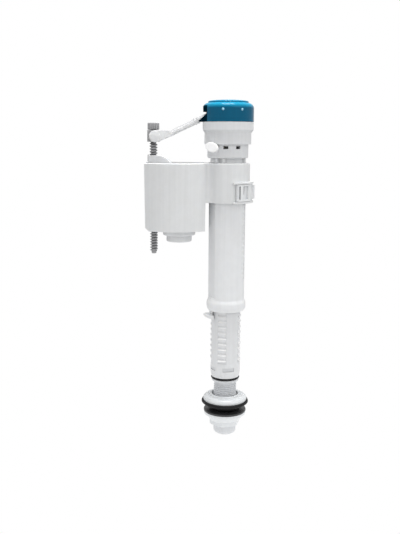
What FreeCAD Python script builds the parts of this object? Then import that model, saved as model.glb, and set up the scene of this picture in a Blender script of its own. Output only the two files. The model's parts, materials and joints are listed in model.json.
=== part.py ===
import FreeCAD, Part
import math
import os
import Sketcher

# A bottom-entry cistern fill valve. The Z axis is the axis of the inlet shank and of the
# riser, Z = 0 is the shank's end face, the float chamber lies toward -X and the front is -Y.
# The stored pose is the dry valve: float down, both locks released, diaphragm on its seat.

SIZES = (
    # inlet shank with a G 1/2 parallel thread
    ("thread_radius", 10.4775), ("thread_root", 9.3155), ("thread_pitch", 1.8143),
    ("end_round", 3.5), ("tail_top", 9.0), ("thread_start", 11.0),
    ("inlet_radius", 6.0), ("inlet_step", 12.0), ("pipe_socket", 6.45),
    ("flange_start", 49.2), ("flange_level", 51.9), ("flange_top", 53.7),
    ("flange_radius", 12.5), ("spigot_radius", 10.85), ("spigot_top", 67.0), ("snap_reach", 12.5),
    # ladder sleeve on the shank
    ("sleeve_bottom", 56.1), ("sleeve_top", 170.0), ("sleeve_bore", 10.95),
    ("sleeve_valley", 12.5), ("sleeve_gap", 13.2), ("sleeve_full", 14.0), ("sleeve_foot", 12.9),
    ("plain_bottom", 60.0), ("plain_radius", 13.6), ("ladder_bottom", 70.4),
    ("rib_first", 72.4), ("rib_pitch", 5.2), ("rib_tip", 0.3), ("rib_slope", 1.6),
    ("ladder_turn", -16.5), ("ladder_half", 16.7),
    ("window_bottom", 62.6), ("window_tall", 3.6), ("window_wide", 10.4),
    # supply pipes inside the riser
    ("lower_pipe_radius", 6.4), ("lower_pipe_bore", 5.0), ("lower_pipe_bottom", 40.0),
    ("upper_pipe_radius", 8.3), ("upper_pipe_bore", 6.9), ("upper_pipe_bottom", 122.0),
    # riser tube with its bell
    ("riser_radius", 16.45), ("riser_bore", 14.35), ("bell_bottom", 119.2),
    ("bell_radius", 17.9), ("bell_top", 130.4), ("bell_recess", 15.9), ("riser_top", 268.5),
    ("rack_depth", 0.9), ("rack_pitch", 4.6), ("rack_bottom", 151.6), ("notch_tall", 3.1),
    ("notch_ramp", 1.2),
    # valve head
    ("head_bottom", 257.1), ("skirt_radius", 18.2), ("skirt_bore", 16.6), ("floor_level", 268.7),
    ("step_level", 269.2), ("middle_radius", 20.6), ("shoulder_level", 279.2),
    ("head_radius", 22.5), ("head_top", 288.5), ("neck_radius", 20.85), ("neck_top", 294.0),
    ("plate_radius", 17.6), ("seat_level", 281.0),
    # cap
    ("cap_radius", 22.6), ("cap_bottom", 288.6), ("cap_shoulder", 304.4), ("cap_disc", 17.9),
    ("cap_rim", 306.3), ("cap_top", 307.8), ("cap_wall", 1.6), ("lip_x", -19.3), ("beak_x", -26.0),
    # lever arm
    ("pivot_x", -13.0), ("pivot_z", 296.2), ("pivot_pin", 1.5), ("eye_x", -64.2), ("eye_z", 276.0),
    ("eye_radius", 5.1), ("stub_radius", 1.3), ("arm_rise", 24.5), ("arm_swing", 10.0),
    # adjusting rod and its holder
    ("rod_x", -66.0), ("rod_crest", 3.4), ("rod_root", 2.45), ("rod_pitch", 2.45),
    ("rod_bottom", 171.0), ("holder_bottom", 270.9), ("holder_top", 281.3),
    ("holder_half", 5.2), ("rod_top", 287.5), ("neck", 2.3),
    # float chamber and its collar
    ("cup_left", -72.9), ("cup_right", -19.9), ("cup_side", 14.2), ("cup_bulge", 44.0),
    ("cup_bottom", 192.9), ("cup_top", 252.7), ("cup_wall", 1.6), ("cup_draft", 0.6),
    ("collar_radius", 19.9), ("collar_bore", 16.75), ("collar_bottom", 218.0),
    ("latch_inner", 20.2), ("latch_outer", 22.2), ("ledge_radius", 23.2),
    # drain valve under the chamber
    ("drain_x", -43.2), ("drain_radius", 14.6), ("drain_bore", 11.8), ("drain_bottom", 188.0),
    ("drain_disc", 11.4), ("disc_bottom", 182.2), ("disc_top", 188.4),
    # float
    ("float_left", -70.7), ("float_right", -50.4), ("float_bottom", 206.0), ("float_top", 259.1),
    ("float_gap", 0.9), ("float_wall", 1.5), ("rod_way", 4.2),
    # tank fixings
    ("flat_bottom", 21.8), ("flat_top", 23.8), ("flat_radius", 19.8), ("shank_hole", 10.9),
    ("cone_top", 32.6), ("cone_rim", 21.9), ("dome_top", 39.6), ("dome_radius", 20.2),
    ("nut_bottom", 9.2), ("nut_flange", 19.5), ("nut_flats", 25.2), ("nut_bore", 10.56),
)

THREAD_TURNS = 21
RIB_COUNT = 19
# how far the ribs of each ladder stand above those of the front one, in mm: front, right, back, left
RIB_SHIFTS = (0.0, 0.0, 0.0, 2.1)
NOTCH_COUNT = 22
ROD_TURNS = 39
PORT_COUNT = 6
SPIDER_HOLES = 4
KNURLS = 16
# azimuths of the windows of the sleeve and of the head, in degrees
SLEEVE_WINDOWS = (11, -66, 114, 191)
SNAPS = (-7.5, 28, 172.5, 208)
# recessed panels round the top of the riser: (first azimuth, sweep) in degrees
NECK_PANELS = ((-112, 70), (-32, 13), (-9, 68), (69, 76), (155, 50), (215, 28))
# plan of the lock ring's thumb tab: (radius, azimuth) round its outer edge
LOCK_TAB = ((15.2, -101), (19.4, -97), (20.6, -88), (20.3, -77), (19.0, -65), (17.0, -56), (15.2, -49))

document = FreeCAD.newDocument("FillValve")
sheet = document.addObject("Spreadsheet::Sheet", "Sizes")
for row, (alias, number_mm) in enumerate(SIZES, start=1):
    sheet.set(f"A{row}", alias.replace("_", " "))
    sheet.set(f"B{row}", str(number_mm))
    sheet.setAlias(f"B{row}", alias)
document.recompute()
parts = []


class Length:
    """A number together with the sheet formula that gives it."""

    def __init__(self, value, formula):
        self.value = value
        self.formula = formula

    def _with(self, sign, other, value):
        text = other.formula if isinstance(other, Length) else repr(float(other))
        return Length(value, f"({self.formula} {sign} {text})")

    def __add__(self, other):
        return self._with("+", other, self.value + number(other))

    def __sub__(self, other):
        return self._with("-", other, self.value - number(other))

    def __mul__(self, other):
        return self._with("*", other, self.value * number(other))

    def __rsub__(self, other):
        return Length(number(other) - self.value, f"({float(other)!r} - {self.formula})")

    def __radd__(self, other):
        return self + other

    def __neg__(self):
        return Length(-self.value, f"(-1 * {self.formula})")


def number(length):
    return length.value if isinstance(length, Length) else float(length)


def size(alias):
    return Length(float(sheet.get(alias)), f"Sizes.{alias}")


def bind(item, target, length):
    """Give a property its value, tied to the sheet wherever the value comes from there."""
    if isinstance(length, Length):
        item.setExpression(target, length.formula)
        return
    owner, _, field = target.rpartition(".")
    if owner:
        item.setExpression(target, repr(float(length)))
    else:
        setattr(item, field, float(length))


def place(item, x=0.0, y=0.0, z=0.0, turn=0.0):
    """Put an item at a point, turned about the vertical by an angle in degrees."""
    item.Placement = FreeCAD.Placement(
        FreeCAD.Vector(number(x), number(y), number(z)),
        FreeCAD.Rotation(FreeCAD.Vector(0, 0, 1), number(turn)),
    )
    for target, length in (("x", x), ("y", y), ("z", z)):
        if isinstance(length, Length):
            item.setExpression(f"Placement.Base.{target}", length.formula)
    return item


def cylinder(name, radius, bottom, top, x=0.0, y=0.0):
    item = document.addObject("Part::Cylinder", name)
    bind(item, "Radius", radius)
    bind(item, "Height", top - bottom)
    return place(item, x, y, bottom)


def sector(name, radius, bottom, top, start, sweep):
    """A pie slice of a cylinder. Angles are counted from the front toward +X."""
    item = cylinder(name, radius, bottom, top)
    item.Angle = sweep
    return place(item, z=bottom, turn=start - 90)


def tube(name, outer, inner, bottom, top, x=0.0):
    return cut(name, cylinder(name + "_body", outer, bottom, top, x),
               cylinder(name + "_hole", inner, bottom - 1, top + 1, x))


def cross_pin(name, radius, x, z, front, back):
    """A cylinder along Y."""
    item = document.addObject("Part::Cylinder", name)
    bind(item, "Radius", radius)
    item.Height = back - front
    item.Placement = FreeCAD.Placement(
        FreeCAD.Vector(number(x), front, number(z)), FreeCAD.Rotation(FreeCAD.Vector(1, 0, 0), -90)
    )
    return item


def block(name, low, high):
    """A box between two corners."""
    item = document.addObject("Part::Box", name)
    for field, a, b in zip(("Length", "Width", "Height"), low, high):
        bind(item, field, b - a)
    return place(item, *low)


def spoke_block(name, near, far, width, bottom, top, azimuth):
    """A box that runs outward at an azimuth counted from the front toward +X."""
    item = document.addObject("Part::Box", name)
    for field, length in (("Length", far - near), ("Width", width), ("Height", top - bottom)):
        bind(item, field, length)
    angle = math.radians(azimuth - 90)
    out = FreeCAD.Vector(math.cos(angle), math.sin(angle), 0)
    side = FreeCAD.Vector(-math.sin(angle), math.cos(angle), 0)
    corner = out * number(near) - side * (number(width) / 2)
    return place(item, corner.x, corner.y, bottom, azimuth - 90)


def fuse(name, pieces):
    item = document.addObject("Part::MultiFuse", name)
    item.Shapes = pieces
    return item


def common(name, pieces):
    item = document.addObject("Part::MultiCommon", name)
    item.Shapes = pieces
    return item


def cut(name, base, *tools):
    item = document.addObject("Part::Cut", name)
    item.Base = base
    item.Tool = tools[0] if len(tools) == 1 else fuse(name + "_tools", list(tools))
    return item


def origin_plane(body, role):
    return next(item for item in body.Origin.OriginFeatures if item.Role == role)


def new_sketch(body, name, role, level=0.0):
    sketch = body.newObject("Sketcher::SketchObject", name)
    sketch.AttachmentSupport = [(origin_plane(body, role), "")]
    sketch.MapMode = "FlatFace"
    if isinstance(level, Length):
        sketch.setExpression("AttachmentOffset.Base.z", level.formula)
    return sketch


def pin_point(sketch, edge, end, point):
    """Fix one end of a sketch edge at sheet-driven coordinates."""
    for kind, length in zip(("DistanceX", "DistanceY"), point):
        index = sketch.addConstraint(Sketcher.Constraint(kind, -1, 1, edge, end, number(length)))
        if isinstance(length, Length):
            sketch.setExpression(f"Constraints[{index}]", length.formula)


def draw_outline(sketch, points):
    """A closed outline of straight edges."""
    corners = [FreeCAD.Vector(number(u), number(v), 0) for u, v in points]
    count = len(points)
    for index in range(count):
        sketch.addGeometry(Part.LineSegment(corners[index], corners[(index + 1) % count]))
    for index in range(count):
        sketch.addConstraint(Sketcher.Constraint("Coincident", index, 2, (index + 1) % count, 1))
    for index, point in enumerate(points):
        pin_point(sketch, index, 1, point)


def turned(name, points, x=0.0):
    """A body of revolution about the vertical, from (radius, height) points."""
    body = document.addObject("PartDesign::Body", name)
    sketch = new_sketch(body, name + "_section", "XZ_Plane")
    draw_outline(sketch, points)
    revolution = body.newObject("PartDesign::Revolution", name + "_turned")
    revolution.Profile = sketch
    revolution.ReferenceAxis = (sketch, ["V_Axis"])
    revolution.Angle = 360
    return place(body, x)


def side_slab(name, points, front, back):
    """A plate whose (x, z) outline is drawn from the front, from one Y to another."""
    body = document.addObject("PartDesign::Body", name)
    draw_outline(new_sketch(body, name + "_side", "XZ_Plane"), points)
    pad = body.newObject("PartDesign::Pad", name + "_pad")
    pad.Profile = document.getObject(name + "_side")
    pad.Length = back - front
    return place(body, y=back)


def plan_slab(name, points, bottom, top):
    """A plate whose (x, y) outline is drawn from above."""
    body = document.addObject("PartDesign::Body", name)
    draw_outline(new_sketch(body, name + "_plan", "XY_Plane"), points)
    pad = body.newObject("PartDesign::Pad", name + "_pad")
    pad.Profile = document.getObject(name + "_plan")
    bind(pad, "Length", top - bottom)
    return place(body, z=bottom)


def round_over(body, rounds):
    """Fillet circular edges, each found by its radius and height."""
    document.recompute()
    for order, (radius, height, fillet_radius) in enumerate(rounds):
        names = []
        for index, edge in enumerate(body.Shape.Edges, start=1):
            curve = edge.Curve
            if not isinstance(curve, Part.Circle):
                continue
            if abs(curve.Radius - number(radius)) < 0.01 and abs(curve.Center.z - number(height)) < 0.01:
                names.append(f"Edge{index}")
        base = body.Tip
        fillet = body.newObject("PartDesign::Fillet", f"{body.Name}_round{order}")
        fillet.Base = (base, names)
        fillet.Radius = number(fillet_radius)
        body.Tip = fillet
        document.recompute()
    return body


def turned_feature(name, points, x=0.0):
    """A long toothed turning, such as a thread, made straight from its section."""
    corners = [FreeCAD.Vector(number(u), 0, number(v)) for u, v in points]
    face = Part.Face(Part.makePolygon(corners + corners[:1]))
    item = document.addObject("Part::Feature", name)
    item.Shape = face.revolve(FreeCAD.Vector(), FreeCAD.Vector(0, 0, 1), 360)
    return place(item, x)


def ring(name, centre_radius, thickness_radius, height, x=0.0):
    item = document.addObject("Part::Torus", name)
    bind(item, "Radius1", centre_radius)
    bind(item, "Radius2", thickness_radius)
    return place(item, x, z=height)


def thread_teeth(root, crest, start, pitch, turns):
    """Section points of a thread drawn as equal ridges, going up."""
    points = []
    for turn in range(turns):
        foot = start + pitch * turn
        points += [(root, foot + pitch * 0.12), (crest, foot + pitch * 0.42)]
        points += [(crest, foot + pitch * 0.58), (root, foot + pitch * 0.88)]
    return points


def keep(label, item):
    """Record one finished sub-part under its name."""
    item.Label = label
    parts.append((label, item))


# --- tail: shank, sleeve, lower pipe and what they hold ---------------------------------


def threaded_shank():
    root, crest = size("thread_root"), size("thread_radius")
    round_radius = size("end_round")
    teeth = thread_teeth(root, crest, size("thread_start"), size("thread_pitch"), THREAD_TURNS)
    blank = turned_feature("shank_blank", [
        (size("inlet_radius"), 0), (crest, 0), (crest, size("tail_top")),
        (root, size("tail_top")), (root, size("thread_start")), *teeth,
        (root, size("flange_start")), (size("flange_radius"), size("flange_level")),
        (size("flange_radius"), size("flange_top")), (size("spigot_radius"), size("flange_top")),
        (size("spigot_radius"), size("spigot_top")), (size("pipe_socket"), size("spigot_top")),
        (size("pipe_socket"), size("inlet_step")), (size("inlet_radius"), size("inlet_step")),
    ])
    document.recompute()
    edge = next(
        index for index, edge in enumerate(blank.Shape.Edges, start=1)
        if isinstance(edge.Curve, Part.Circle) and abs(edge.Curve.Center.z) < 0.01
        and abs(edge.Curve.Radius - crest.value) < 0.01
    )
    fillet = document.addObject("Part::Fillet", "shank_rounded")
    fillet.Base = blank
    fillet.Edges = [(edge, round_radius.value, round_radius.value)]
    snaps = [
        spoke_block(f"shank_snap{index}", size("spigot_radius") - 0.6, size("snap_reach"),
                    size("window_wide") - 0.4, size("window_bottom") + 0.2,
                    size("window_bottom") + size("window_tall") - 0.2, azimuth)
        for index, azimuth in enumerate(SLEEVE_WINDOWS)
    ]
    keep("threaded_shank", fuse("shank", [fillet, *snaps]))


def height_sleeve():
    valley, gap, crest = size("sleeve_valley"), size("sleeve_gap"), size("sleeve_full")
    bottom, foot, top = size("sleeve_bottom"), size("ladder_bottom"), size("sleeve_top")
    blank = turned("sleeve_blank", [
        (size("sleeve_bore"), bottom), (size("sleeve_foot"), bottom),
        (size("plain_radius"), size("plain_bottom")), (size("plain_radius"), foot - 2.5),
        (gap, foot), (gap, top), (size("sleeve_bore"), top),
    ])
    half = size("ladder_half").value
    strips, ladders = [], []
    for ladder, shift in enumerate(RIB_SHIFTS):
        comb = [(valley - 0.6, foot - 0.5), (valley, foot - 0.5)]
        for index in range(RIB_COUNT):
            middle = size("rib_first") + size("rib_pitch") * index + shift
            comb += [(crest, middle - size("rib_tip")), (crest, middle + size("rib_tip"))]
            comb += [(valley, middle + size("rib_slope"))]
        comb += [(valley, top), (valley - 0.6, top)]
        strip = sector(f"sleeve_strip{ladder}", crest + 1, foot, top + 1,
                       size("ladder_turn").value + 90 * ladder - half, 2 * half)
        strips.append(strip)
        turned_comb = turned_feature(f"sleeve_comb{ladder}", comb)
        ladders.append(common(f"sleeve_ladder{ladder}", [turned_comb, strip]))
    recess = cut("sleeve_recess", fuse("sleeve_strips", strips),
                 cylinder("sleeve_recess_floor", valley - 0.3, foot - 1, top + 2))
    windows = [
        spoke_block(f"sleeve_window{index}", size("sleeve_bore") - 2, crest + 2, size("window_wide"),
                    size("window_bottom"), size("window_bottom") + size("window_tall"), azimuth)
        for index, azimuth in enumerate(SLEEVE_WINDOWS)
    ]
    solid = fuse("sleeve_solid", [cut("sleeve_tube", blank, recess), *ladders])
    keep("height_sleeve", cut("sleeve", solid, *windows))


def lower_pipe():
    outer, inner = size("lower_pipe_radius"), size("lower_pipe_bore")
    groove, top = 163.4, size("sleeve_top")
    keep("lower_pipe", turned("lower_pipe", [
        (inner, size("lower_pipe_bottom")), (outer, size("lower_pipe_bottom")), (outer, groove),
        (outer - 0.6, groove), (outer - 0.6, groove + 1.2), (outer, groove + 1.2),
        (outer, top - 1), (outer - 0.7, top), (inner, top),
    ]))
    keep("pipe_o_ring", ring("pipe_o_ring", outer - 0.07, 0.5, groove + 0.6))


def inlet_fittings():
    wall = size("pipe_socket") - 0.05
    bottom = size("inlet_step") + 0.05
    cup = turned("strainer_cup", [
        (0, bottom + 0.9), (0, bottom), (wall, bottom), (wall, bottom + 1.6), (wall - 1.1, bottom + 1.6),
        (wall - 2.2, bottom + 11), (0, bottom + 11), (0, bottom + 10), (wall - 3.2, bottom + 10),
        (wall - 2.3, bottom + 0.9),
    ])
    slots = [
        spoke_block(f"strainer_slot{index}", 1.6, 7, 1.1, bottom + 2.6, bottom + 9.4, 45 * index)
        for index in range(8)
    ]
    grid = [
        cylinder(f"strainer_hole{index}", 0.8, bottom - 1, bottom + 2,
                 2.6 * math.cos(math.tau * index / 6), 2.6 * math.sin(math.tau * index / 6))
        for index in range(6)
    ]
    keep("inlet_strainer", cut("strainer", cup, *slots, *grid))
    level = bottom + 14
    keep("flow_regulator", turned("flow_regulator", [
        (2.4, level), (wall, level), (wall, level + 3.2), (3.6, level + 3.2), (2.4, level + 1.6),
    ]))
    keep("shank_o_ring", ring("shank_o_ring", 12.05, 1.15, 54.9))


# --- riser: outer tube, upper pipe, head, diaphragm, pilot plate and cap ------------------


def riser_tube():
    outer, bore = size("riser_radius"), size("riser_bore")
    blank = turned("riser_blank", [
        (size("bell_recess"), size("bell_bottom")), (size("bell_radius") - 1.5, size("bell_bottom")),
        (size("bell_radius") - 0.5, size("bell_bottom") + 1.6),
        (size("bell_radius"), size("bell_bottom") + 3.6),
        (size("bell_radius"), size("bell_top") - 4.2),
        (outer, size("bell_top")), (outer, size("riser_top")), (bore, size("riser_top")),
        (bore, size("bell_bottom") + 7.2), (size("bell_recess"), size("bell_bottom") + 7.2),
    ])
    deep = outer - size("rack_depth")
    lane = cut("riser_lane", sector("riser_lane_slice", outer + 1, size("rack_bottom") - 3, 262.0, 69.5, 12),
               cylinder("riser_lane_floor", deep, 140.0, 270.0))
    ramps = [(0, size("rack_bottom") - 1), (deep, size("rack_bottom") - 1)]
    for index in range(NOTCH_COUNT):
        foot = size("rack_bottom") + size("rack_pitch") * index
        ramps += [(deep + 0.75, foot), (deep, foot + size("notch_ramp")), (deep, foot + size("notch_tall"))]
    ramps += [(deep, 262.0), (0, 262.0)]
    notches = [
        sector(f"riser_notch{index}", outer + 1, size("rack_bottom") + size("rack_pitch") * index,
               size("rack_bottom") + size("rack_pitch") * index + size("notch_tall"), 55.5, 14.5)
        for index in range(NOTCH_COUNT)
    ]
    rack = cut("riser_rack", fuse("riser_notches", notches), turned_feature("riser_ramps", ramps))
    # a flat down the left of the tube, as wide as the chord of its sweep
    half_sweep = math.radians(24)
    chord = outer * (2 * math.sin(half_sweep))
    flat = spoke_block("riser_flat", outer * math.cos(half_sweep), outer + 2, chord,
                       size("bell_top") + 1, size("cup_top"), -66)
    tube_body = cut("riser_cut", blank, rack, lane, flat)
    ports = [
        spoke_block(f"riser_port{index}", bore - 1, outer + 1, 5.6, 264.8, 267.4, azimuth)
        for index, azimuth in enumerate(SNAPS)
    ]
    ribs = [
        spoke_block(f"riser_rib{index}", outer - 0.8, outer + 0.85, 1.6, 253.4, 256.9, azimuth)
        for index, azimuth in enumerate((-37, -14, 64, 150, 210))
    ]
    slices = [
        sector(f"riser_neck_slice{index}", outer + 1, 253.2, 257.0, start, sweep)
        for index, (start, sweep) in enumerate(NECK_PANELS)
    ]
    neck = cut("riser_neck", fuse("riser_neck_slices", slices),
               cylinder("riser_neck_floor", bore + 0.6, 250.0, 260.0))
    keep("riser_tube", fuse("riser", [cut("riser_necked", tube_body, neck, *ports), *ribs]))


def upper_pipe():
    outer, inner = size("upper_pipe_radius"), size("upper_pipe_bore")
    top = size("riser_top")
    keep("upper_pipe", turned("upper_pipe", [
        (inner + 0.6, size("upper_pipe_bottom")), (outer, size("upper_pipe_bottom")),
        (outer, top - 2), (outer + 0.85, top - 2), (outer + 0.85, top), (inner, top),
        (inner, size("upper_pipe_bottom") + 2),
    ]))


def head_body():
    skirt, middle = size("skirt_radius"), size("middle_radius")
    floor_top = size("floor_level") + 2.8
    blank = turned("head_blank", [
        (size("skirt_bore"), size("head_bottom")), (skirt - 0.8, size("head_bottom")),
        (skirt, size("head_bottom") + 1.2), (skirt, size("step_level")), (middle, size("step_level")),
        (middle, size("shoulder_level")), (size("head_radius"), size("shoulder_level") + 2.4),
        (size("head_radius"), size("head_top")), (size("neck_radius"), size("head_top")),
        (size("neck_radius"), size("neck_top")), (size("plate_radius") + 0.2, size("neck_top")),
        (size("plate_radius") + 0.2, 280.2), (15.2, 280.2), (15.2, floor_top), (6.95, floor_top),
        (6.95, size("floor_level")), (size("skirt_bore"), size("floor_level")),
    ])
    ports = [
        cylinder(f"head_port{index}", 2.3, 267.0, 273.0,
                 11.8 * math.cos(math.tau * index / PORT_COUNT),
                 11.8 * math.sin(math.tau * index / PORT_COUNT))
        for index in range(PORT_COUNT)
    ]
    windows = [
        spoke_block(f"head_window{index}", 15.0, 20.0, 4.2, 265.2, 268.0, azimuth)
        for index, azimuth in enumerate(SNAPS)
    ]
    pad = sector("head_pad", middle + 0.25, size("step_level"), size("shoulder_level") + 0.6, -97, 64)
    button_way = spoke_block("head_button_way", 15.0, 20.0, 3.9, 264.6, 268.5, -35)
    arm_way = block("head_arm_way", (-24.0, -4.4, 288.3), (-16.5, 4.4, 295.0))
    pad_ring = cut("head_pad_ring", pad, cylinder("head_pad_core", 20.0, 268.0, 282.0))
    solid = fuse("head_solid", [blank, pad_ring])
    keep("head_body", cut("head", solid, button_way, arm_way, *ports, *windows))


def head_internals():
    level = size("seat_level")
    keep("valve_seat", turned("valve_seat", [
        (5.4, 262.0), (6.85, 262.0), (6.85, 264.4), (6.0, 264.4), (6.0, 265.6), (6.85, 265.6),
        (6.85, 271.55), (9.0, 271.55), (9.0, 273.0), (6.9, 273.0), (6.9, level - 1.6),
        (6.2, level), (5.4, level),
    ]))
    keep("seat_o_ring", ring("seat_o_ring", 6.45, 0.42, 265.0))
    keep("diaphragm", turned("diaphragm", [
        (9.7, 281.2), (13.5, 281.2), (14.0, 280.25), (17.5, 280.25), (17.5, 282.9), (14.6, 282.9),
        (14.2, 282.3), (9.7, 282.3),
    ]))
    core = turned("core_blank", [
        (0, level + 0.05), (8.0, level + 0.05), (9.3, level + 0.6), (9.3, level + 1.4),
        (8.0, level + 2.2), (0, level + 2.2),
    ])
    keep("diaphragm_core", cut("core", core, cylinder("core_hole", 0.9, 278.0, 290.0, 3.5)))
    keep("metering_pin", cylinder("metering_pin", 0.6, 277.0, 286.0, 3.5))
    plate = turned("plate_blank", [
        (12.5, 283.0), (size("plate_radius"), 283.0), (size("plate_radius"), 288.4), (2.2, 288.4),
        (2.2, 292.4), (1.6, 293.0), (0.6, 293.0), (0.6, 286.0), (12.5, 286.0),
    ])
    ears = [
        side_slab(f"plate_ear{index}", [
            (size("pivot_x") - 3.0, 288.2), (size("pivot_x") + 3.0, 288.2),
            (size("pivot_x") + 3.0, size("pivot_z") + 2.4), (size("pivot_x"), size("pivot_z") + 3.6),
            (size("pivot_x") - 3.0, size("pivot_z") + 2.4),
        ], front, front + 2.2)
        for index, front in enumerate((-6.4, 4.2))
    ]
    hole = cross_pin("plate_pin_hole", size("pivot_pin"), size("pivot_x"), size("pivot_z"), -9, 9)
    keep("pilot_plate", cut("pilot", fuse("plate_and_ears", [plate, *ears]), hole))
    keep("pivot_pin", cross_pin("pivot_pin", size("pivot_pin"), size("pivot_x"), size("pivot_z"), -6.4, 6.4))


def cap():
    outer, wall = size("cap_radius"), size("cap_wall")
    blank = turned("cap_blank", [
        (outer - wall, size("cap_bottom")), (outer, size("cap_bottom")), (outer, size("cap_shoulder")),
        (size("cap_disc"), size("cap_shoulder")), (size("cap_disc"), size("cap_rim")),
        (13, size("cap_rim") + 0.66), (7, size("cap_rim") + 1.26), (0, size("cap_top")),
        (0, size("cap_top") - wall), (size("cap_disc") - wall, size("cap_rim") - wall),
        (size("cap_disc") - wall, size("cap_shoulder") - wall),
        (outer - wall - 1.6, size("cap_shoulder") - wall),
        (outer - wall, size("cap_shoulder") - wall - 2.4),
    ])
    round_over(blank, [(outer, size("cap_shoulder"), 4.2), (size("cap_disc"), size("cap_rim"), 1.4)])
    lip_x, beak_x, bottom = size("lip_x"), size("beak_x"), size("cap_bottom")
    lip_top, beak_top, mouth_top = bottom + 6.6, bottom + 0.9, bottom + 8.7
    drop = (lip_top.value - beak_top.value) / (lip_x.value - beak_x.value)
    cheeks = [
        side_slab(f"cap_cheek{index}", [
            (lip_x, bottom), (beak_x, bottom), (beak_x, beak_top), (lip_x, lip_top),
        ], front, front + 1.6)
        for index, front in enumerate((-6.1, 4.5))
    ]
    inside = cylinder("cap_inside", outer - wall, bottom - 1, mouth_top + 1)
    notch = side_slab("cap_notch", [
        (lip_x, mouth_top), (beak_x - 2, mouth_top), (beak_x - 2, beak_top - drop * 2), (lip_x, lip_top),
    ], -13, 13)
    arm_slot = block("cap_arm_slot", (-28.0, -4.5, 288.0), (-12.0, 4.5, 299.0))
    lips = fuse("cap_lips", [cut("cap_notched", blank, notch),
                             cut("cap_cheeks", fuse("cheeks", cheeks), inside)])
    keep("cap", cut("cap_open", lips, arm_slot))


# --- lever arm, float gear ------------------------------------------------------------------


def lever_arm():
    pivot_x, pivot_z, eye_x, eye_z = size("pivot_x"), size("pivot_z"), size("eye_x"), size("eye_z")
    rise = math.tan(math.radians(size("arm_rise").value))
    half = 2.3 / math.cos(math.radians(size("arm_rise").value))
    bar_x = eye_x + 13.3
    bar_z = pivot_z - (pivot_x - bar_x) * rise
    side = side_slab("arm_side", [
        (eye_x, eye_z + 5.08), (bar_x, bar_z + half), (pivot_x, pivot_z + half),
        (pivot_x, pivot_z - half), (eye_x + 5.6, pivot_z - (pivot_x - eye_x - 5.6) * rise - half),
        (eye_x + 3.0, eye_z - 4.5), (eye_x, eye_z - 5.08),
    ], -8.2, 8.2)
    plan = plan_slab("arm_plan", [
        (eye_x - 0.01, -8.2), (eye_x + 11.5, -8.2), (eye_x + 17.5, -3.0), (pivot_x + 0.01, -3.0),
        (pivot_x + 0.01, 3.0), (eye_x + 17.5, 3.0), (eye_x + 11.5, 8.2), (eye_x - 0.01, 8.2),
    ], 260.0, 302.0)
    bar = common("arm_bar", [side, plan])
    eyes = [
        cross_pin(f"arm_eye{index}", size("eye_radius"), eye_x, eye_z, front, front + 2.6)
        for index, front in enumerate((-8.2, 5.6))
    ]
    stubs = [
        cross_pin(f"arm_stub{index}", size("stub_radius"), eye_x, eye_z, front, front + 2.3)
        for index, front in enumerate((-5.7, 3.4))
    ]
    hub = cross_pin("arm_hub", 3.4, pivot_x, pivot_z, -3.8, 3.8)
    tail = block("arm_tail", (pivot_x, -2.6, pivot_z - 2.0), (pivot_x + 17.0, 2.6, pivot_z + 1.4))
    tail_turn = FreeCAD.Rotation(FreeCAD.Vector(0, 1, 0), -size("arm_swing").value)
    turn_centre = FreeCAD.Vector(pivot_x.value, 0, pivot_z.value)
    swing = FreeCAD.Placement(turn_centre, tail_turn) * FreeCAD.Placement(-turn_centre, FreeCAD.Rotation())
    tail_body = cut("arm_tail_bored", tail, cylinder("arm_seal_way", 1.9, 290.0, pivot_z - 0.6))
    tail_body.Placement = swing
    crotch = block("arm_crotch", (eye_x - 9.0, -5.6, 265.0), (eye_x + 9.5, 5.6, 286.0))
    frame = cut("arm_fork", fuse("arm_solid", [bar, *eyes]), crotch)
    bore = cross_pin("arm_bore", size("pivot_pin") + 0.06, pivot_x, pivot_z, -9, 9)
    keep("lever_arm", cut("arm", fuse("arm_all", [frame, *stubs, hub, tail_body]), bore))
    seal = cut("pilot_seal_turned", cylinder("pilot_seal_blank", 1.85, 293.05, pivot_z - 0.65),
               cylinder("pilot_seal_dimple", 0.5, 292.0, 293.4))
    seal.Placement = swing
    keep("pilot_seal", seal)


def adjusting_rod():
    root, crest, top = size("rod_root"), size("rod_crest"), size("rod_top")
    start = size("rod_bottom") + 2.6
    blank = turned_feature("rod_blank", [
        (0, size("rod_bottom")), (1.9, size("rod_bottom")), (root, size("rod_bottom") + 1.7), (root, start),
        *thread_teeth(root, crest, start, size("rod_pitch"), ROD_TURNS),
        (root, size("holder_bottom") - 0.2), (size("neck"), size("holder_bottom") - 0.2),
        (size("neck"), size("holder_top") + 0.2), (size("holder_half") - 0.5, size("holder_top") + 0.2),
        (size("holder_half"), size("holder_top") + 0.7), (size("holder_half"), top - 0.5),
        (size("holder_half") - 0.5, top), (0, top),
    ], size("rod_x"))
    knurls = [
        cylinder(f"rod_knurl{index}", 0.5, size("holder_top"), top + 1,
                 size("rod_x") + (size("holder_half").value + 0.12) * math.cos(math.tau * index / KNURLS),
                 (size("holder_half").value + 0.12) * math.sin(math.tau * index / KNURLS))
        for index in range(KNURLS)
    ]
    slot = block("rod_slot", (size("rod_x") - 6, -0.6, top - 1.4), (size("rod_x") + 6, 0.6, top + 1))
    keep("adjusting_rod", cut("rod", blank, slot, *knurls))


def rod_holder():
    half, middle = size("holder_half"), size("rod_x")
    body = block("holder_block", (middle - half, -half, size("holder_bottom")),
                 (middle + half, half, size("holder_top")))
    slots = [
        block(f"holder_slot{index}", (-68.5, front, size("eye_z") - 1.5),
              (-62.6, front + 2.2, size("eye_z") + 1.5))
        for index, front in enumerate((-5.4, 3.2))
    ]
    bore = cylinder("holder_bore", size("neck") + 0.07, size("holder_bottom") - 1,
                    size("holder_top") + 1, middle)
    keep("rod_holder", cut("holder", body, bore, *slots))


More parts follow.
